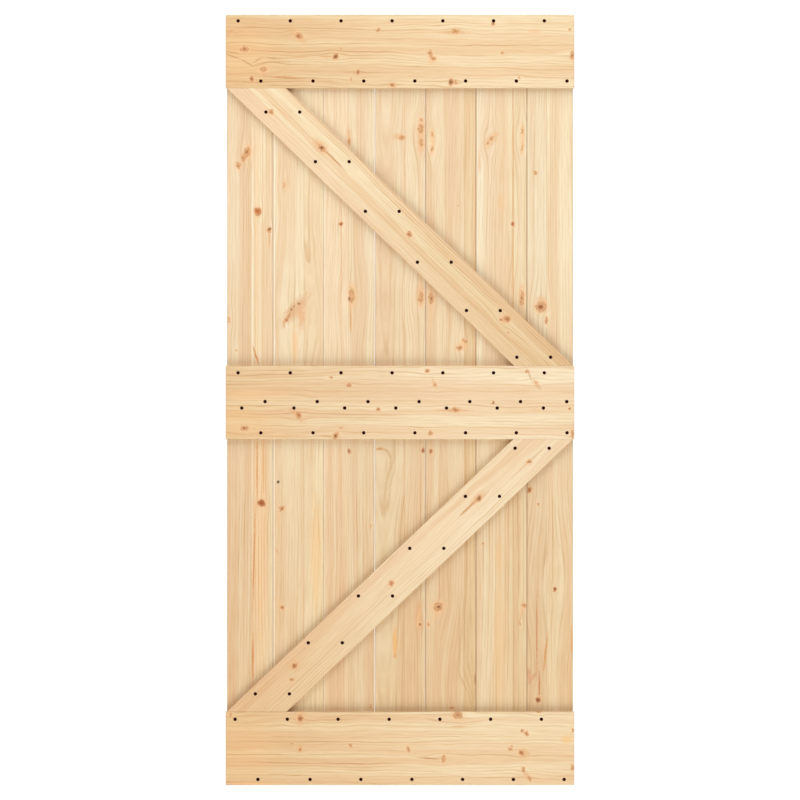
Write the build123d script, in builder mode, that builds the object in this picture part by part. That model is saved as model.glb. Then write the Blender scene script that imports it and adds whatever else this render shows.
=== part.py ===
from build123d import *
from math import asin, atan2, hypot, sin
from typing import NamedTuple
import os

# Ledged and braced door leaf in softwood: seven upright boards, three rails across their
# front and two braces that fall from corner to corner of the panels, so that rails and
# braces draw a K. Countersunk screws driven from the front hold it together.
# Millimetres. X runs across the leaf, Y from its front to its back and Z up. The origin is
# the middle of the top rail's front face, which is where the leaf is hung from.

# Leaf
leaf_width = 950.0
leaf_height = 2100.0

# Upright boards, butted edge to edge behind the rails
board_count = 7
board_width = 138.0
board_thickness = 17.0
board_arris = 0.8
closed_joint = 0.3
open_joint = 1.3
open_joint_number = 3

# Rails
rail_height = 200.0
rail_thickness = 18.0
rail_arris = 1.0
rail_overrun = 3.0
middle_rail_from_foot = 943.0

# Braces
brace_width = 112.0
brace_thickness = 18.0
brace_arris = 1.0

# Countersunk screws. Heads and seats are drawn with enough sides to read as round.
screw_head_diameter = 9.0
screw_shank_diameter = 4.5
screw_head_sink = 0.3
head_side_count = 16
screw_edge_distance = 14.0


class ScrewRow(NamedTuple):
    """One row of screws along a rail, with one screw in each board."""

    level: float
    rise: float
    from_right: float
    last_from_left: bool


# Each row is set out from a level on the rail, where 0 is its foot and 1 its top, by a rise
# from that level, and by the distance to the board edge on the right of each screw. The last
# board was ripped narrower on its right, so most rows keep their distance from its left edge.
top_rail_rows = (
    ScrewRow(level=1, rise=-16.5, from_right=91.0, last_from_left=True),
    ScrewRow(level=0, rise=19.5, from_right=29.0, last_from_left=True),
)
middle_rail_rows = (
    ScrewRow(level=1, rise=-19.0, from_right=91.0, last_from_left=True),
    ScrewRow(level=0.5, rise=2.5, from_right=17.5, last_from_left=False),
    ScrewRow(level=0.5, rise=-15.0, from_right=81.0, last_from_left=False),
    ScrewRow(level=0, rise=17.5, from_right=29.0, last_from_left=True),
)
bottom_rail_rows = (
    ScrewRow(level=1, rise=-20.5, from_right=99.0, last_from_left=True),
    ScrewRow(level=0, rise=15.5, from_right=37.0, last_from_left=True),
)
first_board_extra = 4.0

# Pairs of screws down a brace, one pair astride each joint between boards. Each was marked
# out by eye: its middle lies a little to the right of the joint and off the centre line.
brace_screw_margin = 24.0
upper_pair_rights = (27.0, 23.5, 21.5, 24.0, 19.5, 18.5)
upper_pair_rises = (4.5, -0.5, -4.0, -5.5, -8.0, -2.5)
lower_pair_rights = (-1.5, 4.5, 3.0, 3.5, 17.0, 14.0)
lower_pair_rises = (8.0, 10.0, 7.5, 4.5, 2.0, 4.5)

# Levels up the leaf
leaf_top = rail_height / 2
leaf_foot = leaf_top - leaf_height
top_rail_foot = leaf_top - rail_height
middle_rail_foot = leaf_foot + middle_rail_from_foot
middle_rail_top = middle_rail_foot + rail_height
bottom_rail_top = leaf_foot + rail_height

# Places across the leaf. The two outer boards take what the full ones leave.
boards_across = leaf_width - 2 * rail_overrun
inner_boards = board_count - 2
inner_across = inner_boards * (board_width + closed_joint) + open_joint
outer_board_width = (boards_across - inner_across) / 2


def set_out_boards():
    """Left and right edge of each board, from left to right."""
    spans = []
    left = -boards_across / 2
    for number in range(1, board_count + 1):
        outer = number in (1, board_count)
        right = left + (outer_board_width if outer else board_width)
        spans.append((left, right))
        left = right + (open_joint if number == open_joint_number else closed_joint)
    return spans


board_spans = set_out_boards()


def set_out_rail_screws(foot, rows):
    """Across and up places of the screws in a rail that stands on the level foot."""
    places = []
    for row in rows:
        up = foot + row.level * rail_height + row.rise
        for number, (left, right) in enumerate(board_spans, start=1):
            across = right - row.from_right
            if number == 1:
                across -= first_board_extra
            if number == board_count and row.last_from_left:
                across = left + board_width - row.from_right
            nearest_left = left + screw_edge_distance
            nearest_right = right - screw_edge_distance
            places.append((min(max(across, nearest_left), nearest_right), up))
    return places


def brace_lean(top, foot):
    """Angle of a brace to the floor, so that both its tips end on the boards' outer edges."""
    diagonal = hypot(boards_across, top - foot)
    return atan2(top - foot, boards_across) + asin(brace_width / diagonal)


def set_out_brace_screws(top, foot, head_side, rights, rises):
    """Across and up places of the screw pairs in a brace whose head is on head_side."""
    lean = brace_lean(top, foot)
    end_cut = brace_width / sin(lean)
    head_across = head_side * (boards_across - end_cut) / 2
    pair_spacing = (brace_width - 2 * brace_screw_margin) / sin(lean)
    places = []
    for (_, joint), right, rise in zip(board_spans[:-1], rights, rises):
        across = joint + right
        share_down = (head_across - across) / (2 * head_across)
        up = top - share_down * (top - foot) + rise
        up = min(max(up, foot + screw_edge_distance), top - screw_edge_distance)
        places.append((across - pair_spacing / 2, up))
        places.append((across + pair_spacing / 2, up))
    return places


# The head is a 90 degree cone under a flat top, and sits a little below the wood's face.
countersink_slope = 45.0
head_radius = screw_head_diameter / 2
head_depth = head_radius - screw_shank_diameter / 2


def head_outlines(places, radius, below=0.0):
    """Round outlines at places across and up, on a plane that far below the front face."""
    with BuildSketch(Plane.XZ.offset(-below)) as outlines:
        with Locations(*places):
            RegularPolygon(radius, head_side_count, major_radius=False)
    return outlines.sketch


def sink_seats(places):
    """Countersinks in the front face, each the cone of its screw's head carried to the face."""
    outlines = head_outlines(places, head_radius + screw_head_sink)
    seat_depth = head_depth + screw_head_sink
    extrude(outlines, amount=-seat_depth, taper=countersink_slope, mode=Mode.SUBTRACT)


def keep(piece, label):
    """Names a finished piece and writes it."""
    piece.label = label
    export_step(piece, f"parts/{label}.step")


os.makedirs("parts", exist_ok=True)

# Boards: full height, planed square, their long edges eased
for number, (left, right) in enumerate(board_spans, start=1):
    with BuildPart() as board:
        with BuildSketch(Plane.XY.offset(leaf_foot)):
            with Locations(((left + right) / 2, rail_thickness + board_thickness / 2)):
                Rectangle(right - left, board_thickness)
        extrude(amount=leaf_height)
        chamfer(board.edges().filter_by(Axis.Z), board_arris)
    keep(board.part, f"board_{number}")

# Rails: flat on the boards, a touch longer than the row of boards, front edges eased
rails = {
    "top_rail": (top_rail_foot, top_rail_rows),
    "middle_rail": (middle_rail_foot, middle_rail_rows),
    "bottom_rail": (leaf_foot, bottom_rail_rows),
}
screw_places = {}
for name, (foot, rows) in rails.items():
    screw_places[name] = set_out_rail_screws(foot, rows)
    with BuildPart() as rail:
        with BuildSketch(Plane.XZ):
            with Locations((0, foot + rail_height / 2)):
                Rectangle(leaf_width, rail_height)
        extrude(amount=-rail_thickness)
        chamfer(rail.faces().sort_by(Axis.Y)[0].edges(), rail_arris)
        sink_seats(screw_places[name])
    keep(rail.part, name)

# Braces: both ends cut level, so that each seats on the rails above and below it
braces = {
    "upper_brace": (top_rail_foot, middle_rail_top, -1, upper_pair_rights, upper_pair_rises),
    "lower_brace": (middle_rail_foot, bottom_rail_top, 1, lower_pair_rights, lower_pair_rises),
}
for name, (top, foot, head_side, rights, rises) in braces.items():
    screw_places[name] = set_out_brace_screws(top, foot, head_side, rights, rises)
    outer_edge = head_side * boards_across / 2
    inner_edge = outer_edge - head_side * brace_width / sin(brace_lean(top, foot))
    head_cut = [(outer_edge, top), (inner_edge, top)]
    foot_cut = [(-outer_edge, foot), (-inner_edge, foot)]
    with BuildPart() as brace:
        with BuildSketch(Plane.XZ):
            with BuildLine():
                Polyline(*head_cut, *foot_cut, close=True)
            make_face()
        extrude(amount=-brace_thickness)
        front_edges = brace.faces().sort_by(Axis.Y)[0].edges()
        chamfer(front_edges.sort_by(SortBy.LENGTH)[-2:], brace_arris)
        sink_seats(screw_places[name])
    keep(brace.part, name)

# Screws: the heads that show, each seated in its countersink. The shanks are in the timber.
for name, places in screw_places.items():
    with BuildPart() as screws:
        outlines = head_outlines(places, head_radius, below=screw_head_sink)
        extrude(outlines, amount=-head_depth, taper=countersink_slope)
    keep(screws.part, f"{name}_screws")
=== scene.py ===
from math import asin, atan2, cos, hypot, pi, radians
from typing import NamedTuple

import bmesh
import bpy
from mathutils import Matrix, Vector


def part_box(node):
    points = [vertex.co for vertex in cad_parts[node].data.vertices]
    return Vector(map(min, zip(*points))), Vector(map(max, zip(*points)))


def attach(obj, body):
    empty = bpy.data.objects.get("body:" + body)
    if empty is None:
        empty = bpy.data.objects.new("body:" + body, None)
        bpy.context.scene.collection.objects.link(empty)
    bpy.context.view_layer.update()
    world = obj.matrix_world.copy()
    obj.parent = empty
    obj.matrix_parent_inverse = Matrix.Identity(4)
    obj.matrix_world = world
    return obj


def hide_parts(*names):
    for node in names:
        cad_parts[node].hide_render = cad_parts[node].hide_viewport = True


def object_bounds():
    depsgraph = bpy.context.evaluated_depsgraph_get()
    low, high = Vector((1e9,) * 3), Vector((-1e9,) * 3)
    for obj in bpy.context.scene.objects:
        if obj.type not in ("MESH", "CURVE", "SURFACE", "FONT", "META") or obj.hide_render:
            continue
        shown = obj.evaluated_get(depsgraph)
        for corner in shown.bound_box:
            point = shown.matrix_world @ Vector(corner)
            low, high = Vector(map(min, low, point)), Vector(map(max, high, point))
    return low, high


# Ledged and braced door leaf in planed pine. Metres: X runs across the leaf, Y from its front
# to its back, Z up, and the origin is the middle of the top rail's front face.
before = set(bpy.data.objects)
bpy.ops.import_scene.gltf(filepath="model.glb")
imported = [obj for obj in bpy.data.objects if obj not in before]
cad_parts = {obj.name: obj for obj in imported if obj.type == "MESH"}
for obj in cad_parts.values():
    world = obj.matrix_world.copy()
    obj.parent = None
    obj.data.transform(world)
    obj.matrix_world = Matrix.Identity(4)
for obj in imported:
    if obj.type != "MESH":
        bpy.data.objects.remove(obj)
cad_low, cad_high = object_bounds()

# Boards: seven upright pine boards, each glued up from two or three sawn strips, planed square
# and left unfinished. They butt edge to edge, and the rails and braces are screwed to them.
foot = cad_low.z


class Strip(NamedTuple):
    """A sawn strip of a glued piece, from its start, across from the piece's middle, to the next.

    The first starts at -1, outside the piece. Its pith is where the tree's middle lay, across
    from the piece's middle and behind its face. Its figure is how strongly its rings are drawn.
    """

    start: float
    tone: str
    pith: tuple
    figure: float = 1.0


class Knot(NamedTuple):
    """A branch cut through: its middle from the leaf's centre line and foot, and its size.

    A faint one is shallow, and one fainter than 3 lies under the face and only bends the grain.
    """

    across: float
    up: float
    wide: float
    tall: float
    lean: float = 0.0
    faint: float = 0.0


class Stain(NamedTuple):
    """A soft spindle of resin, of heartwood, of a knot's dark heart or of a painted highlight on a
    lit arris, set out as a knot is.
    """

    across: float
    up: float
    wide: float
    tall: float
    colour: str
    lean: float = 0.0
    depth: float = 0.7


# Colours of stains and a painted highlight, then of bands, rings, amber, knots, painted shade at
# joints and seats, and ends
resin = "#E0B079"
heartwood = "#CC8D53"
blush = "#DBAB80"
red_heart = "#A05628"
orange_heart = "#C67E42"
brown_heart = "#7E4C24"
branch = "#CF9A66"
sapwood_and_highlight = "#F2E4CC"
late_line = "#BD9464"
band_pink = "#FAF0EA"
streak_tan = "#F3E6D0"
fibre_tan = "#F0E4D4"
latewood_tan = "#D8B688"
glue = "#D9BC98"
butt_amber_and_shade = "#F2E7D8"
knot_halo = "#E0B384"
knot_body = "#D19D6B"
knot_rim = "#9E6535"
knot_middle = "#8E552A"
joint_dust_and_shade = "#A07048"
rubbed_coat_and_shade = "#2C1206"
sawn_end = "#DDC09A"
downwards = Vector((0, 0, -1))


def linear(colour):
    """An sRGB hex colour as linear red, green, blue and alpha."""
    channels = [int(colour[at:at + 2], 16) / 255 for at in (1, 3, 5)]
    return [c / 12.92 if c <= 0.04045 else ((c + 0.055) / 1.055) ** 2.4 for c in channels] + [1.0]


def add(tree, kind, *values, **named):
    """Adds a node and gives its first output, if it has one.

    Values fill its inputs in order. A name with a capital is an input too, the rest are settings.
    """
    node = tree.nodes.new("ShaderNode" + kind)
    for name, value in named.items():
        if name[0].islower():
            setattr(node, name, value)
    inputs = [socket for socket in node.inputs if socket.enabled]
    given = list(zip(inputs, values))
    for name, value in named.items():
        if name[0].isupper():
            given.append((next(s for s in inputs if s.name == name.replace("_", " ")), value))
    for socket, value in given:
        if isinstance(value, bpy.types.NodeSocket):
            tree.links.new(value, socket)
        else:
            socket.default_value = value
    return next((socket for socket in node.outputs if socket.enabled), None)


def stained(tree, colour, stain, place, rough):
    """Colour with a stain laid over it, as deep as the piece and soft to its edge."""
    where = Vector((stain.across, 0, foot + stain.up))
    straight_through = 9
    outline = add(tree, "Mapping", place, where, (0, radians(stain.lean), 0),
                  (stain.wide / 2, straight_through, stain.tall / 2), vector_type="TEXTURE")
    outline = add(tree, "VectorMath", outline, rough, operation="ADD")
    distance = add(tree, "VectorMath", outline, operation="LENGTH")
    share = add(tree, "MapRange", distance, 0.3, 1.3, stain.depth, 0,
                interpolation_type="SMOOTHSTEP")
    return add(tree, "Mix", share, colour, linear(stain.colour), data_type="RGBA")


def planed_pine(name, turn, strips, knots=(), stains=(), hearts=(), butt=downwards, joint_sides=(),
                joint_depth=0.0, ring_pitch=0.008, line_depth=0.55, wander=0.018, ripple=0.004,
                seats=False):
    """Gives a CAD piece bare planed pine of its own, its grain turned by that angle from upright.

    Pine is pale cream earlywood with thin tan latewood rings, orange-brown knots that the grain
    bends round, and a dull silky face. One solid of rings runs through the piece to its ends.
    The butt is the way to the foot of its log. Joint sides are -1 for the left and 1 for the
    right, where it meets another board. A piece with seats has screws sunk in its face.
    """
    low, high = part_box(name)
    to_grain = Matrix.Rotation(-turn, 3, "Y")
    middle = to_grain @ ((low + high) / 2)
    material = bpy.data.materials.new(f"planed_pine_{name}")
    material.use_nodes = True
    tree = material.node_tree
    tree.nodes.clear()
    place = add(tree, "TexCoord").node.outputs["Object"]
    grain = add(tree, "Mapping", place, vector_type="TEXTURE", Rotation=(0, turn, 0))

    # Outlines are ragged over about 8 mm: a knot's by some 2 mm, a stain's by a part of its size
    patches_to_metre = 130
    knot_ragged = 0.008
    stain_ragged = 0.6
    patchy = add(tree, "TexNoise", place, Scale=patches_to_metre, Detail=3, Roughness=0.6)
    uneven_way = patchy.node.outputs["Color"]
    rough = add(tree, "VectorMath", uneven_way, (2 * stain_ragged, 0, 2 * stain_ragged),
                (-stain_ragged, 0, -stain_ragged), operation="MULTIPLY_ADD")
    ragged = add(tree, "VectorMath", uneven_way, (2 * knot_ragged, 0, 2 * knot_ragged), place,
                 operation="MULTIPLY_ADD")
    ragged = add(tree, "VectorMath", ragged, (knot_ragged, 0, knot_ragged), operation="SUBTRACT")

    # The grain parts round each knot, over twice its size across and 4.5 times along
    parted_across = 2
    parted_along = 4.5
    parting = 0.65
    bent = grain
    far_off = 9.0
    nearest = far_off
    for knot in knots:
        where = Vector((knot.across, 0, foot + knot.up))
        outline = add(tree, "Mapping", ragged, where, (0, radians(knot.lean), 0),
                      (knot.wide / 2, 1, knot.tall / 2), vector_type="TEXTURE")
        distance = add(tree, "VectorMath", outline, operation="LENGTH")
        distance = add(tree, "Math", distance, knot.faint, operation="ADD")
        nearest = add(tree, "Math", nearest, distance, operation="MINIMUM")
        size = (knot.wide + knot.tall) / 2
        reach = Vector((1 / (parted_across * size), 0, 1 / (parted_along * size)))
        at = to_grain @ where
        within = add(tree, "VectorMath", grain, reach, -at * reach, operation="MULTIPLY_ADD")
        within = add(tree, "VectorMath", within, operation="LENGTH")
        share = add(tree, "MapRange", within, 0, 1, parting, 0, interpolation_type="SMOOTHSTEP")
        aside = add(tree, "VectorMath", grain, (1, 0, 0), (-at.x, 0, 0), operation="MULTIPLY_ADD")
        shove = add(tree, "VectorMath", aside, Scale=share, operation="SCALE")
        bent = add(tree, "VectorMath", bent, shove, operation="SUBTRACT")

    # Trees don't grow straight: the grain wanders over 80 mm across and 600 mm along, and
    # ripples over 35 mm across and 120 mm along
    for amount, to_metre in ((wander, (12, 12, 1.7)), (ripple, (28, 28, 8))):
        drift = add(tree, "VectorMath", grain, to_metre, operation="MULTIPLY")
        drift = add(tree, "TexNoise", drift, Scale=1, Detail=2).node.outputs["Color"]
        bent = add(tree, "VectorMath", drift, (amount, amount, 0), bent, operation="MULTIPLY_ADD")

    # Each strip has its own pith and tone, and meets the next in a thin glue line
    glue_reach = 0.0015
    glue_depth = 0.35
    across = add(tree, "SeparateXYZ", grain)
    piths = [Vector((middle.x + strip.pith[0], strip.pith[1], middle.z)) for strip in strips]
    pith = piths[0]
    tone = linear(strips[0].tone)
    figure = strips[0].figure
    glue_line = 0.0
    for strip, next_pith in zip(strips[1:], piths[1:]):
        start = middle.x + strip.start
        past = add(tree, "Math", across, start, operation="GREATER_THAN")
        pith = add(tree, "Mix", past, pith, next_pith, data_type="VECTOR")
        tone = add(tree, "Mix", past, tone, linear(strip.tone), data_type="RGBA")
        figure = add(tree, "Mix", past, figure, strip.figure, data_type="FLOAT")
        beside = add(tree, "Math", across, start, operation="SUBTRACT")
        beside = add(tree, "Math", beside, operation="ABSOLUTE")
        line = add(tree, "MapRange", beside, 0, glue_reach, glue_depth, 0)
        glue_line = add(tree, "Math", glue_line, line, operation="MAXIMUM")

    # The pith leans a little, and the rings run on along it with hardly a change
    pith_lean = (radians(0.9), radians(0.25), 0)
    drawn_out = (1, 1, 1000)
    from_pith = add(tree, "Mapping", bent, pith, pith_lean, drawn_out, vector_type="TEXTURE")
    radius = add(tree, "VectorMath", from_pith, operation="LENGTH")
    along = add(tree, "SeparateXYZ", bent).node.outputs["Z"]
    in_trunk = add(tree, "CombineXYZ", radius, along)

    # Pinker bands about 30 mm wide, soft streaks of about 11 mm, and fibres, which are drawn
    # 3 mm wide to show
    bands_to_metre = (34, 0.8, 0)
    streaks_to_metre = (90, 1.3, 0)
    fibres_to_metre = (330, 14, 0)
    bands = add(tree, "VectorMath", in_trunk, bands_to_metre, operation="MULTIPLY")
    bands = add(tree, "TexNoise", bands, Scale=1, Detail=1, noise_dimensions="2D")
    bands = add(tree, "MapRange", bands, 0.4, 0.6, 0, 1, interpolation_type="SMOOTHSTEP")
    streaks = add(tree, "VectorMath", in_trunk, streaks_to_metre, operation="MULTIPLY")
    streaks = add(tree, "TexNoise", streaks, Scale=1, Detail=3, Roughness=0.6,
                  noise_dimensions="2D")
    streaks = add(tree, "MapRange", streaks, 0.3, 0.7, 0, 0.35)
    fibres = add(tree, "VectorMath", in_trunk, fibres_to_metre, operation="MULTIPLY")
    fibres = add(tree, "TexNoise", fibres, Scale=1, Detail=2, noise_dimensions="2D")
    fibres = add(tree, "MapRange", fibres, 0.35, 0.7, 0, 0.45)

    # Latewood darkens slowly through each ring and ends at once. Rings differ in width and depth
    # and fade in and out along the grain. They are drawn further apart than pine's, to show
    changes_to_metre = 32
    unevenness = 1.8
    fades_to_metre = (50, 5, 0)
    uneven = add(tree, "TexNoise", W=radius, Scale=changes_to_metre, Detail=1,
                 noise_dimensions="1D")
    ring = add(tree, "Math", radius, 1 / ring_pitch, operation="MULTIPLY")
    ring = add(tree, "Math", uneven, unevenness, ring, operation="MULTIPLY_ADD")
    part = add(tree, "Math", ring, operation="FRACT")
    darkening = add(tree, "MapRange", part, 0.6, 0.9, 0, 1, interpolation_type="SMOOTHSTEP")
    ending = add(tree, "MapRange", part, 0.92, 1.0, 1, 0, interpolation_type="SMOOTHSTEP")
    which = add(tree, "Math", ring, operation="FLOOR")
    year = add(tree, "TexWhiteNoise", W=which, noise_dimensions="1D")
    year = add(tree, "MapRange", year, 0, 1, 0.2, 0.95)
    fade = add(tree, "VectorMath", in_trunk, fades_to_metre, operation="MULTIPLY")
    fade = add(tree, "TexNoise", fade, Scale=1, Detail=1, noise_dimensions="2D")
    fade = add(tree, "MapRange", fade, 0.35, 0.65, 0.25 * line_depth, line_depth)

    # The butt end of a log holds more resin, so its rings stand out more. It is also more amber
    # there, partly painted shade: it darkens boards and braces towards the foot, where less light
    # falls, and rails towards the left
    towards = add(tree, "VectorMath", place, butt, operation="DOT_PRODUCT")
    centre = (low + high).dot(butt) / 2
    half = abs((high - low).dot(butt)) / 2
    resinous = add(tree, "MapRange", towards, centre - half, centre + half, 0.8, 1.35)
    amber = add(tree, "MapRange", towards, centre - 0.4 * half, centre + half, 0, 1)
    latewood = darkening
    for share in (ending, year, fade, figure, resinous):
        latewood = add(tree, "Math", latewood, share, operation="MULTIPLY")

    colour = tone
    tints = (
        (bands, band_pink), (streaks, streak_tan), (fibres, fibre_tan),
        (latewood, latewood_tan), (glue_line, glue), (amber, butt_amber_and_shade),
    )
    for share, tint in tints:
        colour = add(tree, "Mix", share, colour, linear(tint), data_type="RGBA",
                     blend_type="MULTIPLY")
    for stain in stains:
        colour = stained(tree, colour, stain, place, rough)

    # A knot has a soft halo, a tan body, a thin darker rim and a brown middle
    if knots:
        patchy = add(tree, "MapRange", patchy, 0.35, 0.65, 0.5, 1)
        halo = add(tree, "MapRange", nearest, 1.1, 2.5, 0.5, 0, interpolation_type="SMOOTHSTEP")
        body = add(tree, "MapRange", nearest, 1.0, 1.45, 0.72, 0, interpolation_type="SMOOTHSTEP")
        off_rim = add(tree, "Math", nearest, 1.05, operation="SUBTRACT")
        off_rim = add(tree, "Math", off_rim, operation="ABSOLUTE")
        rim = add(tree, "MapRange", off_rim, 0, 0.35, 0.6, 0)
        rim = add(tree, "Math", rim, patchy, operation="MULTIPLY")
        core = add(tree, "MapRange", nearest, 0.3, 0.85, 0.9, 0, interpolation_type="SMOOTHSTEP")
        core = add(tree, "Math", core, patchy, operation="MULTIPLY")
        shades = ((halo, knot_halo), (body, knot_body), (rim, knot_rim), (core, knot_middle))
        for share, shade in shades:
            colour = add(tree, "Mix", share, colour, linear(shade), data_type="RGBA")
    for dark in hearts:
        colour = stained(tree, colour, dark, place, rough)

    # The arrises along a joint between boards are darkened over the last 2 mm: painted shade in
    # the groove between the boards, with some dust
    dust_and_shade_reach = 0.0020
    dust_and_shade_full = 0.0009
    for side in joint_sides:
        outwards = add(tree, "Math", across, side, operation="MULTIPLY")
        edge = max(side * low.x, side * high.x)
        dust_and_shade = add(tree, "MapRange", outwards, edge - dust_and_shade_reach, edge - dust_and_shade_full, 0, joint_depth)
        colour = add(tree, "Mix", dust_and_shade, colour, linear(joint_dust_and_shade), data_type="RGBA",
                     blend_type="MULTIPLY")

    # The seats, the only slopes well inside a face, are painted near black: painted shade in the
    # countersunk recess round each head, with the screws' black coat rubbed off on it
    seat_slope = cos(pi / 4)
    slope_slack = 0.15
    arris_room = 0.002
    normal = add(tree, "TexCoord").node.outputs["Normal"]
    if seats:
        slope = add(tree, "VectorMath", normal, (0, 1, 0), operation="DOT_PRODUCT")
        slope = add(tree, "Math", slope, operation="ABSOLUTE")
        black = add(tree, "Math", slope, seat_slope, slope_slack, operation="COMPARE")
        corners = [to_grain @ vertex.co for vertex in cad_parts[name].data.vertices]
        for way in ("x", "z"):
            reaches = [getattr(corner, way) for corner in corners]
            reach_middle = (min(reaches) + max(reaches)) / 2
            half_reach = (max(reaches) - min(reaches)) / 2
            off_middle = add(tree, "SeparateXYZ", grain).node.outputs[way.upper()]
            off_middle = add(tree, "Math", off_middle, reach_middle, operation="SUBTRACT")
            off_middle = add(tree, "Math", off_middle, operation="ABSOLUTE")
            inside = add(tree, "Math", off_middle, half_reach - arris_room, operation="LESS_THAN")
            black = add(tree, "Math", black, inside, operation="MULTIPLY")
        colour = add(tree, "Mix", black, colour, linear(rubbed_coat_and_shade), data_type="RGBA")

    # Sawn ends soak up light, so they are darker than the planed faces
    grain_line = Matrix.Rotation(turn, 3, "Y") @ Vector((0, 0, 1))
    end = add(tree, "VectorMath", normal, grain_line, operation="DOT_PRODUCT")
    end = add(tree, "Math", end, operation="ABSOLUTE")
    end = add(tree, "MapRange", end, 0.5, 0.9, 0, 0.6)
    colour = add(tree, "Mix", end, colour, linear(sawn_end), data_type="RGBA",
                 blend_type="MULTIPLY")

    # Planing leaves fibres and latewood a touch proud, and they shine a little more
    relief = add(tree, "Math", fibres, latewood, operation="ADD")
    bump = add(tree, "Bump", Strength=0.35, Distance=0.0003, Height=relief)
    sheen = add(tree, "MapRange", relief, 0, 1, 0.68, 0.52)
    surface = add(tree, "BsdfPrincipled", Base_Color=colour, Roughness=sheen, Normal=bump)
    surface.node.inputs["Specular IOR Level"].default_value = 0.35
    add(tree, "OutputMaterial", surface)
    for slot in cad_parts[name].material_slots:
        slot.material = material


planed_pine(
    "board_1", 0.0,
    strips=(
        Strip(-1, "#E0CCAC", pith=(-0.11, 0.07)),
        Strip(0.0025, "#E5D5B6", pith=(0.16, 0.09)),
    ),
    knots=(
        Knot(-0.417, 1.727, 0.015, 0.026, lean=15, faint=0.1),
        Knot(-0.427, 1.711, 0.013, 0.016, faint=0.2),
        Knot(-0.442, 1.689, 0.013, 0.016, faint=0.2),
        Knot(-0.3885, 1.565, 0.016, 0.018),
        Knot(-0.357, 1.515, 0.011, 0.011),
        Knot(-0.467, 1.270, 0.006, 0.020, faint=0.3),
        Knot(-0.447, 1.186, 0.006, 0.006, faint=0.5),
        Knot(-0.3785, 0.768, 0.018, 0.016),
    ),
    stains=(
        Stain(-0.389, 1.500, 0.012, 1.300, resin, depth=0.3),
        Stain(-0.396, 1.480, 0.003, 1.300, heartwood, depth=0.45),
        Stain(-0.3755, 1.450, 0.0025, 1.300, heartwood, depth=0.4),
        Stain(-0.416, 1.722, 0.024, 0.050, resin, lean=20, depth=0.5),
        Stain(-0.357, 1.490, 0.004, 0.060, heartwood, depth=0.7),
        Stain(-0.393, 1.170, 0.006, 0.064, orange_heart, lean=-18, depth=0.9),
        Stain(-0.380, 0.700, 0.040, 0.900, resin, depth=0.4),
        Stain(-0.390, 0.860, 0.005, 0.260, orange_heart, depth=0.75),
        Stain(-0.373, 0.870, 0.003, 0.190, heartwood, depth=0.8),
        Stain(-0.3665, 0.860, 0.002, 0.170, heartwood, depth=0.6),
        Stain(-0.3985, 0.620, 0.005, 0.330, orange_heart, lean=1.5, depth=0.8),
        Stain(-0.386, 0.560, 0.003, 0.420, heartwood, depth=0.6),
        Stain(-0.378, 0.580, 0.0025, 0.400, heartwood, depth=0.5),
        Stain(-0.371, 0.570, 0.0025, 0.380, heartwood, depth=0.5),
        Stain(-0.4015, 0.345, 0.006, 0.170, orange_heart, depth=0.9),
        Stain(-0.4035, 1.350, 0.002, 1.600, sapwood_and_highlight, depth=0.7),
    ),
    hearts=(
        Stain(-0.3885, 1.565, 0.019, 0.019, "#B35E26", depth=0.8),
        Stain(-0.357, 1.516, 0.011, 0.009, brown_heart, depth=0.8),
        Stain(-0.3785, 0.768, 0.023, 0.019, "#984C1E", depth=0.9),
    ),
    joint_sides=(1,), joint_depth=0.35,
)
planed_pine(
    "board_2", 0.0,
    strips=(
        Strip(-1, "#E4D4B5", pith=(-0.20, 0.06)),
        Strip(0.015, "#E5D6B6", pith=(0.03, 0.05)),
    ),
    knots=(
        Knot(-0.317, 1.636, 0.008, 0.018, faint=0.5),
        Knot(-0.290, 1.288, 0.060, 0.080, faint=4),
        Knot(-0.322, 0.753, 0.011, 0.010),
        Knot(-0.322, 0.483, 0.011, 0.010),
    ),
    stains=(
        Stain(-0.286, 1.298, 0.038, 0.112, "#CC9868", lean=40, depth=0.7),
        Stain(-0.270, 1.278, 0.024, 0.080, "#D6A67C", depth=0.85),
        Stain(-0.314, 1.265, 0.010, 0.036, branch, lean=30, depth=0.7),
        Stain(-0.287, 1.195, 0.019, 0.120, resin, depth=0.55),
        Stain(-0.2285, 0.625, 0.034, 0.360, "#E0B984", depth=0.6),
        Stain(-0.2360, 0.690, 0.003, 0.200, heartwood, lean=3.5, depth=0.35),
        Stain(-0.2210, 0.690, 0.003, 0.200, heartwood, lean=-3.5, depth=0.35),
        Stain(-0.310, 1.640, 0.028, 0.040, blush, depth=0.3),
        Stain(-0.331, 0.725, 0.008, 0.050, resin, depth=0.5),
        Stain(-0.330, 0.500, 0.006, 0.036, resin, lean=-20, depth=0.6),
        Stain(-0.336, 0.638, 0.004, 0.030, heartwood, lean=-25, depth=0.6),
        # Painted highlight along this board's left arris, which faces the light
        Stain(-0.3440, 1.050, 0.004, 4.000, sapwood_and_highlight, depth=0.8),
    ),
    hearts=(
        Stain(-0.276, 1.313, 0.010, 0.008, brown_heart, lean=30, depth=0.75),
        Stain(-0.290, 1.305, 0.005, 0.010, "#A87040", lean=40, depth=0.7),
        Stain(-0.297, 1.297, 0.008, 0.008, brown_heart, depth=0.65),
        Stain(-0.303, 1.280, 0.006, 0.020, "#AE7645", lean=25, depth=0.7),
        Stain(-0.309, 1.268, 0.009, 0.010, red_heart, depth=0.75),
        Stain(-0.316, 1.252, 0.004, 0.012, "#B98250", depth=0.6),
        Stain(-0.3327, 0.826, 0.0085, 0.010, "#30200C", depth=1.0),
        Stain(-0.321, 0.753, 0.007, 0.006, red_heart, depth=0.7),
        Stain(-0.321, 0.483, 0.007, 0.007, red_heart, depth=0.6),
    ),
    joint_sides=(-1, 1), joint_depth=0.15,
)
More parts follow.
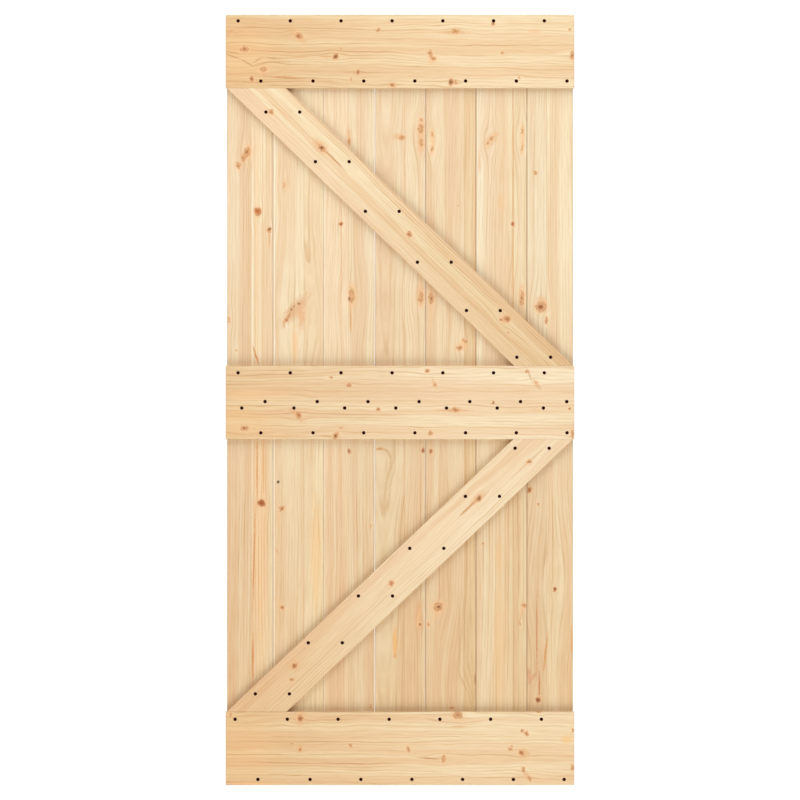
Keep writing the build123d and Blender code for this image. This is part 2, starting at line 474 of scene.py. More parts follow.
planed_pine(
    "board_3", 0.0,
    strips=(
        Strip(-1, "#E4D0B1", pith=(-0.25, 0.12)),
        Strip(-0.002, "#E1D0B1", pith=(0.14, 0.08)),
    ),
    knots=(
        Knot(-0.139, 1.757, 0.009, 0.024, faint=0.5),
        Knot(-0.161, 1.530, 0.008, 0.011),
        Knot(-0.132, 1.334, 0.021, 0.054, faint=0.5),
        Knot(-0.139, 0.910, 0.007, 0.011),
        Knot(-0.080, 0.707, 0.006, 0.011, faint=0.4),
        Knot(-0.080, 0.213, 0.006, 0.011, faint=0.3),
    ),
    stains=(
        Stain(-0.139, 1.768, 0.013, 0.060, branch, depth=0.5),
        Stain(-0.1605, 1.480, 0.003, 0.420, heartwood, depth=0.6),
        Stain(-0.130, 1.336, 0.024, 0.060, "#DDB48C", depth=0.7),
        Stain(-0.1345, 1.275, 0.006, 0.100, heartwood, depth=0.7),
        # Painted highlight along this board's left arris, which faces the light
        Stain(-0.2065, 1.050, 0.003, 4.000, sapwood_and_highlight, depth=0.5),
    ),
    hearts=(
        Stain(-0.161, 1.530, 0.009, 0.010, red_heart, depth=0.85),
        Stain(-0.1385, 1.326, 0.008, 0.013, brown_heart, depth=0.75),
        Stain(-0.1395, 0.911, 0.009, 0.013, "#96604A", depth=0.75),
    ),
    joint_sides=(-1, 1), joint_depth=0.1,
)
planed_pine(
    "board_4", 0.0,
    strips=(
        Strip(-1, "#E0CEAE", pith=(-0.03, 0.07)),
        Strip(0.012, "#E1CFAF", pith=(0.12, 0.06)),
    ),
    knots=(
        Knot(0.057, 1.815, 0.011, 0.012, faint=0.5),
        Knot(0.057, 1.790, 0.018, 0.030, faint=0.45),
        Knot(0.058, 1.752, 0.017, 0.044, faint=0.75),
        Knot(0.006, 1.767, 0.015, 0.011, faint=0.2),
        Knot(0.057, 1.330, 0.019, 0.048, faint=0.6),
        Knot(-0.050, 0.900, 0.050, 0.070, faint=4),
        Knot(-0.055, 0.917, 0.016, 0.008, faint=0.2),
        Knot(0.063, 0.913, 0.008, 0.012),
        Knot(0.054, 0.437, 0.010, 0.014, faint=0.5),
    ),
    stains=(
        Stain(0.057, 1.768, 0.021, 0.105, "#D6A478", depth=0.75),
        Stain(-0.004, 1.768, 0.034, 0.022, branch, depth=0.5),
        Stain(0.057, 1.335, 0.024, 0.066, "#D6A87C", depth=0.7),
        Stain(0.056, 1.385, 0.006, 0.070, resin, depth=0.5),
        Stain(0.054, 0.442, 0.024, 0.068, "#CDA075", depth=0.8),
        Stain(0.051, 0.474, 0.024, 0.064, "#CDA075", lean=10, depth=0.8),
        Stain(0.051, 0.458, 0.008, 0.060, resin, lean=10, depth=0.6),
        Stain(-0.0135, 0.388, 0.016, 0.095, "#DBA563", depth=0.8),
        Stain(-0.0135, 0.352, 0.010, 0.016, heartwood, depth=0.5),
        Stain(-0.042, 0.914, 0.008, 0.036, late_line, lean=-66, depth=0.5),
        Stain(-0.030, 0.902, 0.008, 0.032, late_line, lean=-32, depth=0.45),
        Stain(-0.0255, 0.882, 0.008, 0.050, late_line, depth=0.45),
        Stain(-0.0305, 0.850, 0.008, 0.060, late_line, lean=17, depth=0.45),
        Stain(-0.040, 0.800, 0.008, 0.100, late_line, lean=6, depth=0.4),
        Stain(-0.014, 0.885, 0.006, 0.070, late_line, lean=2, depth=0.35),
        Stain(-0.020, 0.842, 0.006, 0.070, late_line, lean=14, depth=0.35),
        Stain(-0.029, 0.780, 0.006, 0.110, late_line, lean=5, depth=0.3),
        Stain(-0.038, 0.872, 0.006, 0.056, late_line, lean=8, depth=0.3),
    ),
    hearts=(
        Stain(0.063, 0.912, 0.010, 0.015, "#965A40", depth=0.75),
        Stain(0.0545, 0.438, 0.006, 0.007, brown_heart, depth=0.85),
    ),
    joint_sides=(-1, 1), joint_depth=0.1,
)
planed_pine(
    "board_5", 0.0,
    strips=(
        Strip(-1, "#E1CEAE", pith=(-0.16, 0.07)),
        Strip(0.037, "#DDC6A0", pith=(0.11, 0.05)),
    ),
    knots=(
        Knot(0.088, 1.774, 0.011, 0.034, lean=-8, faint=0.85),
        Knot(0.088, 1.736, 0.011, 0.034, lean=12, faint=0.8),
        Knot(0.160, 1.581, 0.005, 0.006, faint=0.3),
        Knot(0.085, 1.328, 0.012, 0.026, faint=0.15),
        Knot(0.162, 1.192, 0.019, 0.013, faint=0.3),
        Knot(0.176, 1.211, 0.016, 0.012, faint=0.45),
        Knot(0.084, 0.910, 0.008, 0.010),
        Knot(0.1045, 0.486, 0.027, 0.026, lean=20, faint=0.35),
        Knot(0.077, 0.437, 0.007, 0.010, faint=0.4),
        Knot(0.190, 0.270, 0.036, 0.110, faint=4),
        Knot(0.142, 0.210, 0.012, 0.008, faint=0.2),
    ),
    stains=(
        Stain(0.088, 1.755, 0.015, 0.085, resin, depth=0.4),
        Stain(0.093, 1.772, 0.003, 0.055, heartwood, lean=-12, depth=0.4),
        Stain(0.087, 1.735, 0.004, 0.045, heartwood, lean=14, depth=0.5),
        Stain(0.085, 1.310, 0.008, 0.120, resin, depth=0.4),
        Stain(0.170, 1.200, 0.034, 0.026, resin, lean=60, depth=0.5),
        Stain(0.103, 0.482, 0.040, 0.042, "#D8A87C", lean=25, depth=0.65),
        Stain(0.095, 0.458, 0.010, 0.040, resin, lean=30, depth=0.5),
        Stain(0.077, 0.437, 0.012, 0.022, blush, depth=0.7),
        Stain(0.162, 0.385, 0.0055, 0.250, late_line, depth=0.55),
        Stain(0.1735, 0.390, 0.0055, 0.240, late_line, depth=0.5),
        Stain(0.185, 0.400, 0.0050, 0.210, late_line, depth=0.45),
        Stain(0.1715, 0.282, 0.006, 0.080, late_line, lean=-24, depth=0.5),
        Stain(0.183, 0.286, 0.006, 0.095, late_line, lean=-17, depth=0.5),
        Stain(0.190, 0.312, 0.006, 0.080, late_line, lean=-11, depth=0.5),
        Stain(0.1895, 0.238, 0.006, 0.055, late_line, lean=-10, depth=0.6),
        Stain(0.205, 0.290, 0.006, 0.034, red_heart, depth=0.6),
    ),
    hearts=(
        Stain(0.085, 1.327, 0.005, 0.008, brown_heart, depth=0.7),
        Stain(0.0845, 0.910, 0.009, 0.012, "#A56A4A", depth=0.7),
        Stain(0.163, 1.192, 0.009, 0.007, "#A86430", depth=0.75),
        Stain(0.179, 1.208, 0.007, 0.005, "#A86430", depth=0.6),
        Stain(0.1055, 0.485, 0.011, 0.011, brown_heart, depth=0.8),
        Stain(0.077, 0.437, 0.004, 0.004, red_heart, depth=0.7),
    ),
    joint_sides=(-1, 1), joint_depth=0.8,
)
planed_pine(
    "board_6", 0.0,
    strips=(
        Strip(-1, "#E5D7BA", pith=(-0.12, 0.09)),
        Strip(-0.016, "#E3D2B1", pith=(-0.30, 0.10)),
        Strip(0.031, "#E1CFAD", pith=(0.11, 0.06)),
    ),
    knots=(
        Knot(0.250, 1.764, 0.016, 0.034, lean=42, faint=0.85),
        Knot(0.240, 1.752, 0.017, 0.015, faint=0.9),
        Knot(0.334, 1.784, 0.010, 0.034, faint=0.85),
        Knot(0.333, 1.737, 0.010, 0.034, lean=8, faint=0.85),
        Knot(0.308, 1.530, 0.008, 0.011),
        Knot(0.333, 1.328, 0.012, 0.048, faint=0.4),
        Knot(0.227, 0.657, 0.006, 0.007, faint=0.3),
        Knot(0.338, 0.489, 0.012, 0.012, faint=0.3),
        Knot(0.326, 0.439, 0.005, 0.006, faint=0.2),
    ),
    stains=(
        Stain(0.3088, 1.550, 0.0032, 1.100, heartwood, depth=0.75),
        Stain(0.248, 1.760, 0.032, 0.054, branch, lean=40, depth=0.45),
        Stain(0.2165, 1.700, 0.010, 0.070, blush, depth=0.6),
        Stain(0.334, 1.760, 0.013, 0.095, resin, depth=0.45),
        Stain(0.336, 1.784, 0.0035, 0.050, heartwood, lean=-6, depth=0.6),
        Stain(0.333, 1.738, 0.0035, 0.045, heartwood, lean=9, depth=0.6),
        Stain(0.276, 1.590, 0.024, 0.060, resin, depth=0.35),
        Stain(0.333, 1.330, 0.018, 0.080, blush, depth=0.6),
        Stain(0.270, 0.620, 0.026, 0.100, resin, depth=0.4),
        Stain(0.270, 0.380, 0.034, 0.400, resin, depth=0.35),
        Stain(0.334, 0.478, 0.014, 0.040, blush, lean=15, depth=0.7),
        Stain(0.328, 0.452, 0.004, 0.040, heartwood, lean=15, depth=0.5),
    ),
    hearts=(
        Stain(0.308, 1.530, 0.009, 0.011, red_heart, depth=0.85),
        Stain(0.332, 1.328, 0.004, 0.006, brown_heart, depth=0.8),
        Stain(0.338, 0.489, 0.006, 0.006, "#B57A48", depth=0.6),
    ),
    joint_sides=(-1, 1), joint_depth=0.15,
)
planed_pine(
    "board_7", 0.0,
    strips=(
        Strip(-1, "#E1D1B2", pith=(-0.09, 0.07)),
        Strip(-0.009, "#E5D5B5", pith=(0.13, 0.06)),
    ),
    knots=(
        Knot(0.369, 1.669, 0.009, 0.008, faint=0.2),
        Knot(0.385, 1.304, 0.023, 0.024),
        Knot(0.400, 1.267, 0.007, 0.019, faint=0.3),
        Knot(0.354, 0.803, 0.011, 0.013),
        Knot(0.376, 0.766, 0.006, 0.006),
        Knot(0.415, 0.545, 0.034, 0.090, faint=4),
        Knot(0.4225, 0.533, 0.007, 0.009),
        Knot(0.378, 0.232, 0.011, 0.013),
    ),
    stains=(
        Stain(0.385, 1.317, 0.034, 0.040, "#D6A67A", depth=0.65),
        Stain(0.3735, 0.410, 0.005, 0.260, "#BC7C4C", depth=0.8),
        Stain(0.3805, 0.270, 0.006, 0.080, "#B87444", depth=0.85),
        Stain(0.353, 0.298, 0.012, 0.050, "#B9825A", lean=-8, depth=0.7),
        Stain(0.361, 0.291, 0.012, 0.044, "#B9825A", lean=38, depth=0.6),
        Stain(0.358, 0.292, 0.020, 0.034, blush, depth=0.4),
        Stain(0.397, 0.358, 0.007, 0.110, "#C98548", lean=6, depth=0.8),
        Stain(0.469, 0.392, 0.010, 0.080, "#D09455", depth=0.6),
    ),
    hearts=(
        Stain(0.3845, 1.303, 0.014, 0.015, "#8E4E2A", depth=0.75),
        Stain(0.353, 0.804, 0.009, 0.010, red_heart, depth=0.8),
        Stain(0.4225, 0.534, 0.009, 0.011, "#8C4A28", depth=0.85),
        Stain(0.377, 0.231, 0.013, 0.014, "#84401E", depth=0.85),
    ),
    joint_sides=(-1,), joint_depth=0.6,
)

# Rails: three wide pine boards laid flat across the uprights, planed and bare like them. The
# middle one is glued up from three strips. Their front arrises are eased.
along_rail = -pi / 2
leftwards = Vector((-1, 0, 0))
rail_grain = dict(butt=leftwards, ring_pitch=0.0090, wander=0.026, ripple=0.014, seats=True)
swirl_line = "#B5824F"
pale_patch = "#DDB184"
tan_heart = "#A96A3A"

planed_pine(
    "top_rail", along_rail,
    strips=(Strip(-1, "#E3CFAB", pith=(-0.13, 0.06)),),
    knots=(
        Knot(-0.446, 1.974, 0.030, 0.022, faint=4),
        Knot(-0.424, 2.007, 0.019, 0.011),
        Knot(-0.2755, 2.042, 0.013, 0.016, lean=-30),
        Knot(-0.175, 1.987, 0.011, 0.016, lean=20),
        Knot(-0.373, 1.952, 0.023, 0.020, faint=0.45),
        Knot(-0.404, 1.925, 0.010, 0.014),
        Knot(-0.114, 1.944, 0.008, 0.012),
        Knot(-0.134, 1.924, 0.007, 0.008, faint=0.4),
        Knot(-0.059, 2.058, 0.009, 0.008),
        Knot(-0.022, 1.908, 0.012, 0.007),
        Knot(-0.161, 2.008, 0.009, 0.006, faint=0.5),
        Knot(-0.460, 2.055, 0.007, 0.009, faint=0.4),
        Knot(0.151, 2.055, 0.014, 0.010),
        Knot(0.255, 2.076, 0.007, 0.008),
        Knot(0.083, 1.994, 0.010, 0.018, lean=-10, faint=0.1),
        Knot(0.091, 1.980, 0.012, 0.010, faint=0.1),
        Knot(0.279, 1.996, 0.008, 0.008, faint=0.5),
        Knot(0.139, 1.916, 0.012, 0.015),
        Knot(0.152, 1.917, 0.007, 0.010, faint=0.4),
        Knot(0.325, 1.930, 0.008, 0.008, faint=0.5),
        Knot(0.470, 1.989, 0.009, 0.024, faint=0.2),
        Knot(0.463, 2.060, 0.006, 0.006),
    ),
    stains=(
        Stain(-0.440, 1.990, 0.240, 0.180, resin, depth=0.35),
        Stain(-0.279, 2.043, 0.020, 0.066, branch, lean=-45, depth=0.5),
        Stain(-0.457, 1.987, 0.050, 0.0048, swirl_line, lean=19, depth=0.65),
        Stain(-0.418, 1.970, 0.046, 0.0048, swirl_line, lean=28, depth=0.65),
        Stain(-0.389, 1.976, 0.034, 0.0048, swirl_line, lean=-29, depth=0.65),
        Stain(-0.346, 1.982, 0.064, 0.0048, swirl_line, lean=3, depth=0.65),
        Stain(-0.375, 1.966, 0.046, 0.004, swirl_line, lean=-17, depth=0.55),
        Stain(-0.328, 1.972, 0.070, 0.004, swirl_line, lean=1, depth=0.5),
        Stain(-0.457, 1.997, 0.044, 0.004, swirl_line, lean=12, depth=0.5),
        Stain(-0.280, 1.984, 0.090, 0.003, heartwood, lean=-1, depth=0.45),
        Stain(-0.200, 1.986, 0.044, 0.0030, heartwood, depth=0.7),
        Stain(-0.312, 1.929, 0.115, 0.006, "#BE8452", lean=3, depth=0.85),
        Stain(-0.371, 1.937, 0.010, 0.026, branch, depth=0.5),
        Stain(-0.022, 1.909, 0.028, 0.018, branch, depth=0.6),
        Stain(0.150, 2.054, 0.036, 0.016, branch, depth=0.7),
        Stain(0.145, 2.053, 0.110, 0.005, heartwood, depth=0.6),
        Stain(0.086, 1.978, 0.026, 0.030, blush, depth=0.5),
        Stain(0.368, 2.0755, 0.230, 0.0025, heartwood, depth=0.5),
        Stain(0.368, 2.055, 0.044, 0.014, pale_patch, depth=0.55),
    ),
    hearts=(
        Stain(-0.424, 2.008, 0.010, 0.006, red_heart, depth=0.6),
        Stain(-0.2755, 2.042, 0.007, 0.009, tan_heart, depth=0.7),
        Stain(-0.176, 1.986, 0.012, 0.011, brown_heart, depth=0.85),
        Stain(-0.170, 1.993, 0.004, 0.005, brown_heart, depth=0.7),
        Stain(-0.404, 1.925, 0.006, 0.008, brown_heart, depth=0.7),
        Stain(-0.114, 1.944, 0.005, 0.008, brown_heart, depth=0.7),
        Stain(-0.059, 2.058, 0.006, 0.005, red_heart, depth=0.6),
        Stain(-0.022, 1.908, 0.010, 0.005, brown_heart, depth=0.75),
        Stain(0.1385, 1.916, 0.012, 0.014, brown_heart, depth=0.75),
        Stain(0.255, 2.076, 0.005, 0.006, brown_heart, depth=0.6),
    ),
    line_depth=0.88, **rail_grain,
)
planed_pine(
    "middle_rail", along_rail,
    strips=(
        Strip(-1, "#E7D6B6", pith=(-0.16, 0.05)),
        Strip(0.005, "#E6D3B3", pith=(-0.26, 0.07), figure=0.45),
        Strip(0.040, "#E7D6B7", pith=(0.16, 0.06)),
    ),
    knots=(
        Knot(-0.424, 0.973, 0.019, 0.011),
        Knot(-0.2755, 1.008, 0.013, 0.016, lean=-30),
        Knot(-0.059, 1.024, 0.009, 0.008),
        Knot(-0.175, 0.953, 0.011, 0.016, lean=20),
        Knot(-0.161, 0.974, 0.009, 0.006, faint=0.5),
        Knot(-0.139, 1.090, 0.011, 0.010),
        Knot(-0.188, 1.111, 0.007, 0.006),
        Knot(0.094, 1.091, 0.011, 0.010, faint=0.4),
        Knot(0.075, 1.129, 0.009, 0.008),
        Knot(0.370, 1.096, 0.016, 0.010, faint=0.75),
        Knot(0.346, 1.128, 0.010, 0.008, faint=0.3),
        Knot(0.151, 1.023, 0.014, 0.010),
        Knot(0.255, 1.042, 0.007, 0.008),
        Knot(0.083, 0.959, 0.009, 0.010, faint=0.1),
        Knot(0.470, 0.956, 0.009, 0.022, faint=0.2),
        Knot(0.463, 1.027, 0.006, 0.006),
    ),
    stains=(
        Stain(-0.440, 0.990, 0.240, 0.100, resin, depth=0.35),
        Stain(-0.281, 1.008, 0.016, 0.060, branch, lean=-45, depth=0.55),
        Stain(-0.318, 0.952, 0.160, 0.0035, heartwood, depth=0.5),
        Stain(-0.200, 0.952, 0.044, 0.0030, heartwood, depth=0.7),
        Stain(-0.410, 1.064, 0.220, 0.040, "#E4B98A", depth=0.45),
        Stain(0.373, 1.093, 0.013, 0.042, branch, lean=-35, depth=0.55),
        Stain(0.353, 1.118, 0.006, 0.044, late_line, lean=-20, depth=0.6),
        Stain(0.094, 1.095, 0.010, 0.036, branch, lean=-25, depth=0.45),
        Stain(0.150, 1.022, 0.036, 0.016, branch, depth=0.7),
        Stain(0.145, 1.021, 0.110, 0.005, heartwood, depth=0.6),
        Stain(0.370, 1.022, 0.044, 0.012, pale_patch, depth=0.55),
        Stain(0.368, 1.0415, 0.230, 0.0025, heartwood, depth=0.5),
    ),
    hearts=(
        Stain(-0.424, 0.974, 0.010, 0.006, red_heart, depth=0.6),
        Stain(-0.2755, 1.008, 0.007, 0.009, tan_heart, depth=0.7),
        Stain(-0.176, 0.952, 0.009, 0.008, brown_heart, depth=0.85),
        Stain(-0.059, 1.024, 0.006, 0.005, red_heart, depth=0.6),
        Stain(0.255, 1.042, 0.005, 0.006, brown_heart, depth=0.6),
    ),
    line_depth=0.75, **rail_grain,
)
planed_pine(
    "bottom_rail", along_rail,
    strips=(Strip(-1, "#E2CDA9", pith=(-0.17, 0.05)),),
    knots=(
        Knot(-0.272, 0.182, 0.014, 0.016, lean=-20),
        Knot(-0.273, 0.097, 0.008, 0.010),
        Knot(-0.135, 0.107, 0.007, 0.010),
        Knot(-0.295, 0.114, 0.006, 0.005),
        Knot(-0.462, 0.191, 0.006, 0.008),
        Knot(0.022, 0.098, 0.008, 0.014, lean=-15),
        Knot(0.158, 0.191, 0.024, 0.019, faint=0.2),
        Knot(0.377, 0.199, 0.014, 0.006, faint=0.2),
        Knot(0.333, 0.149, 0.007, 0.007),
        Knot(0.345, 0.140, 0.008, 0.011, lean=-25),
        Knot(0.301, 0.098, 0.008, 0.007),
        Knot(0.305, 0.107, 0.006, 0.005),
        Knot(0.331, 0.0875, 0.011, 0.014, lean=-20),
        Knot(0.1195, 0.072, 0.012, 0.022, faint=0.35),
        Knot(0.336, 0.042, 0.008, 0.010, lean=-30),
        Knot(0.353, 0.018, 0.009, 0.014, lean=-20, faint=0.2),
        Knot(0.471, 0.149, 0.006, 0.008),
        Knot(0.471, 0.047, 0.008, 0.014),
    ),
    stains=(
        Stain(-0.440, 0.100, 0.240, 0.180, resin, depth=0.3),
        Stain(-0.400, 0.004, 0.160, 0.008, resin),
        Stain(-0.273, 0.182, 0.030, 0.038, branch, depth=0.6),
        Stain(-0.273, 0.099, 0.020, 0.026, branch, depth=0.55),
        Stain(0.078, 0.073, 0.060, 0.0055, "#B5804E", lean=4, depth=0.85),
        Stain(0.158, 0.159, 0.050, 0.0040, heartwood),
        Stain(0.337, 0.086, 0.032, 0.030, branch, depth=0.5),
        Stain(0.344, 0.030, 0.012, 0.040, branch, lean=-35, depth=0.5),
        Stain(0.455, 0.124, 0.036, 0.026, "#E0B67A", depth=0.7),
    ),
    hearts=(
        Stain(-0.272, 0.181, 0.014, 0.012, "#96592F", depth=0.8),
        Stain(-0.273, 0.097, 0.006, 0.007, red_heart, depth=0.6),
        Stain(0.331, 0.0875, 0.010, 0.011, "#A0683A", depth=0.75),
        Stain(0.158, 0.192, 0.020, 0.014, "#B27C55", depth=0.6),
        Stain(0.345, 0.140, 0.005, 0.007, tan_heart, depth=0.6),
    ),
    line_depth=0.82, **rail_grain,
)

# Braces: two pine boards, planed and bare, fitted flat between the rails. Each is glued up from
# two strips, and their ends are cut level so that they seat on the rails.
brace_width = 0.112
brace_grain = dict(ring_pitch=0.0080, line_depth=0.7, wander=0.024, ripple=0.008, seats=True)
knot_tail = "#BE8450"
flat_heart = "#B4714C"


def brace_turn(name, head_side):
    """Turn about Y from upright to the line of a brace, whose head is on that side."""
    low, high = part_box(name)
    across, rise = high.x - low.x, high.z - low.z
    lean = atan2(rise, across) + asin(brace_width / hypot(across, rise))
    return head_side * (pi / 2 - lean)


planed_pine(
    "upper_brace", brace_turn("upper_brace", -1),
    strips=(
        Strip(-1, "#E4CFAF", pith=(-0.22, 0.09), figure=0.35),
        Strip(-0.017, "#E5D3B1", pith=(0.17, 0.05)),
    ),
    knots=(
        Knot(-0.351, 1.835, 0.010, 0.011),
        Knot(-0.214, 1.737, 0.012, 0.018, lean=-45),
        Knot(0.026, 1.501, 0.011, 0.012),
        Knot(0.292, 1.271, 0.021, 0.020, faint=0.35),
        Knot(0.296, 1.234, 0.007, 0.008, faint=0.3),
        Knot(0.276, 1.268, 0.009, 0.009, faint=0.2),
    ),
    stains=(
        Stain(-0.216, 1.741, 0.030, 0.062, branch, lean=-45, depth=0.6),
        Stain(-0.182, 1.708, 0.006, 0.100, knot_tail, lean=-45, depth=0.85),
        Stain(0.286, 1.270, 0.030, 0.034, blush),
        Stain(-0.330, 1.842, 0.003, 0.090, heartwood, lean=-52, depth=0.5),
    ),
    hearts=(
        Stain(-0.213, 1.738, 0.014, 0.012, brown_heart, lean=-45, depth=0.8),
        Stain(-0.351, 1.835, 0.007, 0.007, "#B5713C", depth=0.6),
        Stain(0.025, 1.500, 0.012, 0.006, flat_heart, lean=-10, depth=0.7),
        Stain(0.293, 1.270, 0.011, 0.010, "#9E6440", depth=0.75),
    ),
    **brace_grain,
)
planed_pine(
    "lower_brace", brace_turn("lower_brace", 1),
    strips=(
        Strip(-1, "#E4CFAE", pith=(-0.18, 0.06), figure=0.5),
        Strip(0.017, "#E5D3B3", pith=(0.24, 0.09)),
    ),
    knots=(
        Knot(0.353, 0.881, 0.011, 0.009),
        Knot(0.215, 0.782, 0.010, 0.018, lean=45),
        Knot(-0.024, 0.550, 0.012, 0.011),
        Knot(-0.288, 0.326, 0.012, 0.012),
        Knot(-0.295, 0.287, 0.009, 0.006),
    ),
    stains=(
        Stain(0.213, 0.782, 0.026, 0.058, "#D6A880", lean=48, depth=0.6),
        Stain(0.187, 0.757, 0.006, 0.080, knot_tail, lean=47, depth=0.85),
        Stain(0.353, 0.882, 0.003, 0.130, heartwood, lean=48, depth=0.5),
        Stain(-0.288, 0.326, 0.034, 0.036, branch, depth=0.55),
        Stain(-0.295, 0.288, 0.020, 0.014, branch, depth=0.5),
    ),
    hearts=(
        Stain(0.215, 0.781, 0.010, 0.011, brown_heart, lean=40, depth=0.8),
        Stain(0.353, 0.881, 0.008, 0.006, red_heart, depth=0.7),
        Stain(-0.024, 0.551, 0.010, 0.006, flat_heart, lean=10, depth=0.7),
        Stain(-0.288, 0.325, 0.013, 0.012, "#A06438", depth=0.8),
    ),
    **brace_grain,
)

# Screws: 4.5 mm countersunk wood screws in hardened steel with a cross recess, driven from the
# front until their heads sit just below the wood. Only the heads show.
head_diameter = 0.009
shank_diameter = 0.0045
head_depth = (head_diameter - shank_diameter) / 2
head_sides = 40
rim_width = 0.0003
recess_width = 0.0012
recess_length = 0.0050
recess_depth = 0.0014
recess_taper = 0.45


def screw_head():
    """A countersunk head whose flat top faces front, with its middle at the origin."""
    head = bmesh.new()
    bmesh.ops.create_cone(
        head, cap_ends=True, segments=head_sides, depth=head_depth,
        radius1=shank_diameter / 2, radius2=head_diameter / 2,
    )
    top = max(head.faces, key=lambda face: face.calc_center_median().z)
    bmesh.ops.bevel(
        head, geom=list(top.edges), affect="EDGES", offset=rim_width, segments=2,
        profile=0.5, material=-1,
    )
    tolerance = 1e-6
    top_level = head_depth / 2 - tolerance
    for line in (recess_width / 2, recess_length / 2):
        for side in (Vector((1, 0, 0)), Vector((-1, 0, 0)), Vector((0, 1, 0)), Vector((0, -1, 0))):
            faces = [face for face in head.faces if face.calc_center_median().z > top_level]
            edges = dict.fromkeys(edge for face in faces for edge in face.edges)
            verts = dict.fromkeys(vert for face in faces for vert in face.verts)
            cut = [*verts, *edges, *faces]
            bmesh.ops.bisect_plane(head, geom=cut, plane_co=side * line, plane_no=side)
    recess = []
    for face in head.faces:
        middle = face.calc_center_median()
        off_line = min(abs(middle.x), abs(middle.y))
        out = max(abs(middle.x), abs(middle.y))
        if middle.z > top_level and off_line < recess_width / 2 and out < recess_length / 2:
            recess.append(face)
    sunk = bmesh.ops.extrude_face_region(head, geom=recess)["geom"]
    bmesh.ops.delete(head, geom=recess, context="FACES_ONLY")
    recess_floor = [part for part in sunk if isinstance(part, bmesh.types.BMVert)]
    bmesh.ops.translate(head, vec=(0, 0, -recess_depth), verts=recess_floor)
    bmesh.ops.scale(head, vec=(recess_taper, recess_taper, 1), verts=recess_floor)
    bmesh.ops.recalc_face_normals(head, faces=head.faces)
    bmesh.ops.rotate(head, matrix=Matrix.Rotation(pi / 2, 3, "X"), verts=head.verts)
    return head


def head_places(name):
    """Middle of each head in a CAD node, whose heads stand well clear of each other."""
    apart = 1.2 * head_diameter
    heads = []
    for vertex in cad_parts[name].data.vertices:
        head = next((h for h in heads if (h[0] - vertex.co).length < apart), None)
        if head is None:
            heads.append([vertex.co])
        else:
            head.append(vertex.co)
    places = []
    for head in heads:
        low = Vector(min(co[axis] for co in head) for axis in range(3))
        high = Vector(max(co[axis] for co in head) for axis in range(3))
        places.append((low + high) / 2)
    return places


# Black phosphate is a matt, faintly mottled crystal coat, so it reads as a soft brown black.
# Its crystals are finer than the 1 mm they are drawn at to show
coat_black = "#260602"
coat_brown = "#320A04"
crystals_to_metre = 900
phosphate = bpy.data.materials.new("black_phosphated_steel")
phosphate.use_nodes = True
phosphate.node_tree.nodes.clear()
tree = phosphate.node_tree
place = add(tree, "TexCoord").node.outputs["Object"]
mottle = add(tree, "TexNoise", place, Scale=crystals_to_metre, Detail=3)
mottle_share = add(tree, "MapRange", mottle, 0.35, 0.65, 0, 1)
coat = add(tree, "Mix", mottle_share, linear(coat_black), linear(coat_brown), data_type="RGBA")
dullness = add(tree, "MapRange", mottle, 0.3, 0.7, 0.42, 0.62)
relief = add(tree, "Bump", Strength=0.3, Distance=0.00005, Height=mottle)
surface = add(tree, "BsdfPrincipled", Base_Color=coat, Roughness=dullness, Normal=relief)
surface.node.inputs["Specular IOR Level"].default_value = 0.04
add(tree, "OutputMaterial", surface)

# Each cross stands as its driver stopped, so each is turned on by a golden angle from the last
head = screw_head()
head_mesh = bpy.data.meshes.new("screw_head")
head.to_mesh(head_mesh)
head.free()
golden_turn = radians(137.5)
for name in ("top_rail", "middle_rail", "bottom_rail", "upper_brace", "lower_brace"):
    screws = bmesh.new()
    for number, at in enumerate(head_places(f"{name}_screws")):
        before = set(screws.verts)
        screws.from_mesh(head_mesh)
        fresh = [vert for vert in screws.verts if vert not in before]
        turn = Matrix.Rotation(number * golden_turn, 3, "Y")
        bmesh.ops.rotate(screws, matrix=turn, verts=fresh)
        bmesh.ops.translate(screws, vec=at, verts=fresh)
    mesh = bpy.data.meshes.new(f"{name}_screw_heads")
    screws.to_mesh(mesh)
    screws.free()
    mesh.materials.append(phosphate)
    heads = bpy.data.objects.new(f"{name}_screw_heads", mesh)
    bpy.context.scene.collection.objects.link(heads)
    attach(heads, "root")
    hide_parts(f"{name}_screws")
bpy.data.meshes.remove(head_mesh)

# Floor: a plain pale studio floor that runs out to white, a finger's width below the leaf,
# which hangs. It is painted board, matt, and isn't part of the door.
floor_gap = 0.012
floor_radius = 30.0
floor_sides = 96
fade_from = 0.4
fade_to = 3.0
floor_paint = "#F6F4F0"
white = "#FFFFFF"
glow_seen = 1.05
glow_lit = 0.415
floor_form = bmesh.new()
bmesh.ops.create_circle(floor_form, cap_ends=True, segments=floor_sides, radius=floor_radius)
bmesh.ops.translate(floor_form, vec=(0, 0, foot - floor_gap), verts=floor_form.verts)
floor_mesh = bpy.data.meshes.new("studio_floor")
floor_form.to_mesh(floor_mesh)
floor_form.free()
floor = bpy.data.objects.new("studio_floor", floor_mesh)
bpy.context.scene.collection.objects.link(floor)
pale = bpy.data.materials.new("matt_white_floor")
pale.use_nodes = True
pale.node_tree.nodes.clear()
tree = pale.node_tree
place = add(tree, "TexCoord").node.outputs["Object"]
spread = add(tree, "VectorMath", place, (1, 1, 0), operation="MULTIPLY")
spread = add(tree, "VectorMath", spread, operation="LENGTH")
spread = add(tree, "MapRange", spread, fade_from, fade_to, 0.92, 1.0,
             interpolation_type="SMOOTHSTEP")
matt = add(tree, "BsdfDiffuse", linear(floor_paint))
seen = add(tree, "LightPath")
strength = add(tree, "MapRange", seen, 0, 1, glow_lit, glow_seen)
glow = add(tree, "Emission", linear(white), strength)
add(tree, "OutputMaterial", add(tree, "MixShader", spread, matt, glow))
floor_mesh.materials.append(pale)
floor.visible_shadow = False

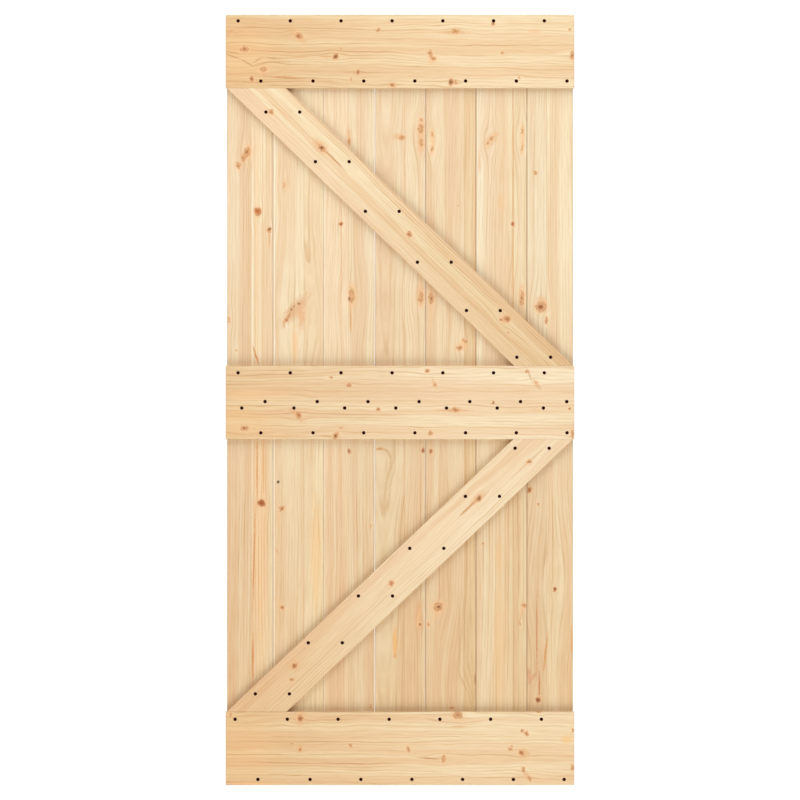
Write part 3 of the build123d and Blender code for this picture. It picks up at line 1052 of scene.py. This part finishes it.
# Light: white sky all round, which the camera sees as plain white, and four wide soft boxes that
# rake the front from above, below and both sides, so that raised pieces have soft shadows round
# them. A fifth lights the back.
middle = (cad_low + cad_high) / 2
scene = bpy.context.scene
scene.view_settings.view_transform = "Standard"
sky = bpy.data.worlds.new("studio")
sky.use_nodes = True
sky.node_tree.nodes.clear()
tree = sky.node_tree
seen = add(tree, "LightPath")
strength = add(tree, "MapRange", seen, 0, 1, glow_lit, glow_seen)
add(tree, "OutputWorld", add(tree, "Background", linear(white), strength))
scene.world = sky

soft_box_size = 4.0
raking = radians(53)
front = Vector((0, -1, 0))
back = Vector((0, 1, 0))
# Each box has the face it lights, the way it leans out to rake it, its distance and its watts
soft_boxes = {
    "above": (front, Vector((0, 0, 1)), 4.5, 140),
    "below": (front, Vector((0, 0, -1)), 6.0, 264),
    "left": (front, Vector((-1, 0, 0)), 5.0, 45),
    "right": (front, Vector((1, 0, 0)), 5.0, 28),
    "behind": (back, Vector((0, 0, 1)), 6.0, 390),
}
for side, (face, outward, distance, watts) in soft_boxes.items():
    lamp = bpy.data.lights.new(f"soft_box_{side}", "AREA")
    lamp.shape = "SQUARE"
    lamp.size = soft_box_size
    lamp.energy = watts
    soft_box = bpy.data.objects.new(f"soft_box_{side}", lamp)
    ray = Matrix.Rotation(raking, 3, outward.cross(face)).inverted() @ face
    soft_box.location = middle + ray * distance
    soft_box.rotation_euler = ray.to_track_quat("Z", "Y").to_euler()
    soft_box.visible_camera = False
    scene.collection.objects.link(soft_box)

# Camera: level, square to the face and far off, as the photograph was taken. The leaf's height
# fills 770.3 of the photograph's 800 pixels.
leaf_height = cad_high.z - cad_low.z
leaf_pixels = 770.3
photo_pixels = 800
leaf_middle_row = 399.95
camera_distance = 15.0
view_size = leaf_height * photo_pixels / leaf_pixels
camera = bpy.data.cameras.new("camera")
camera.sensor_width = 36
camera.lens = camera.sensor_width * camera_distance / view_size
camera_stand = bpy.data.objects.new("camera", camera)
drop = (photo_pixels / 2 - leaf_middle_row) * view_size / photo_pixels
camera_stand.location = (0, -camera_distance, middle.z - drop)
camera_stand.rotation_euler = (pi / 2, 0, 0)
scene.collection.objects.link(camera_stand)
scene.camera = camera_stand
